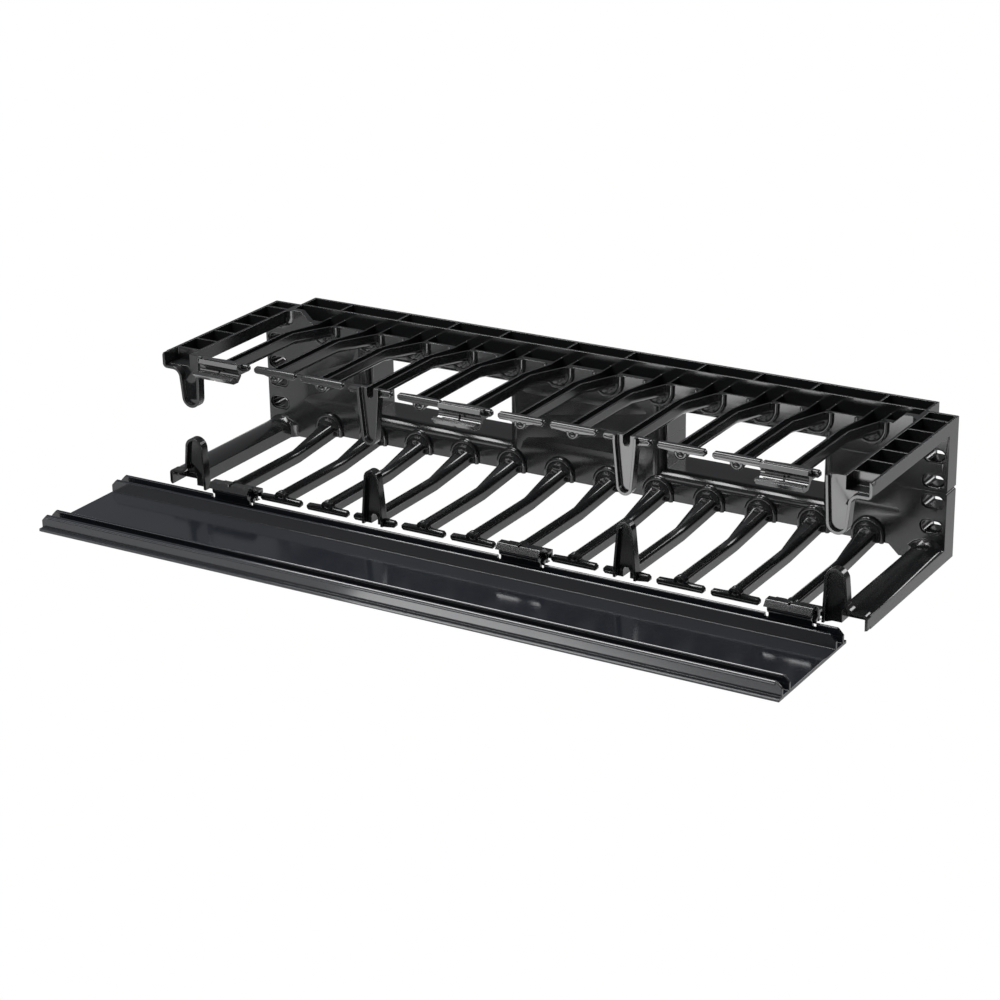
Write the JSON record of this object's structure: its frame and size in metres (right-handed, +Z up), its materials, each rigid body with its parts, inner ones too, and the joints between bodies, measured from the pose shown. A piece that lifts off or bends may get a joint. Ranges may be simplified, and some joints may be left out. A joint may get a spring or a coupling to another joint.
{
  "type": "horizontal cable manager",
  "caption": "Two-unit rack cable manager: back panel with windows, slotted ears, two rows of T-ended fingers and a hinged cover hanging open from clips.",
  "frame": {"origin": "centre of the slot pattern in the ears, on the plane of their back faces, where they seat on the rack rails", "axes": "+X to the viewer's right along the rack width, +Y into the rack, +Z up"},
  "size_m": [0.5194, 0.2284, 0.0987],
  "materials": {
    "body_plastic": "moulded black plastic with a soft gloss",
    "clip_plastic": "smooth extruded black plastic, glossier than the body",
    "cover_plastic": "smooth extruded black plastic, glossy"
  },
  "bodies": {
    "frame": {"moulding_upper": "body_plastic", "moulding_lower": "body_plastic", "clip_upper_left": "clip_plastic", "clip_upper_middle": "clip_plastic", "clip_upper_right": "clip_plastic", "clip_lower_left": "clip_plastic", "clip_lower_middle": "clip_plastic", "clip_lower_right": "clip_plastic"},
    "cover": {"cover": "cover_plastic"}
  },
  "joints": [
    {"name": "cover_hinge", "type": "hinge", "parent": "frame", "child": "cover", "pos_m": [0, -0.128, -0.0394], "axis": [1, 0, 0], "range_deg": [-83, 0]}
  ]
}
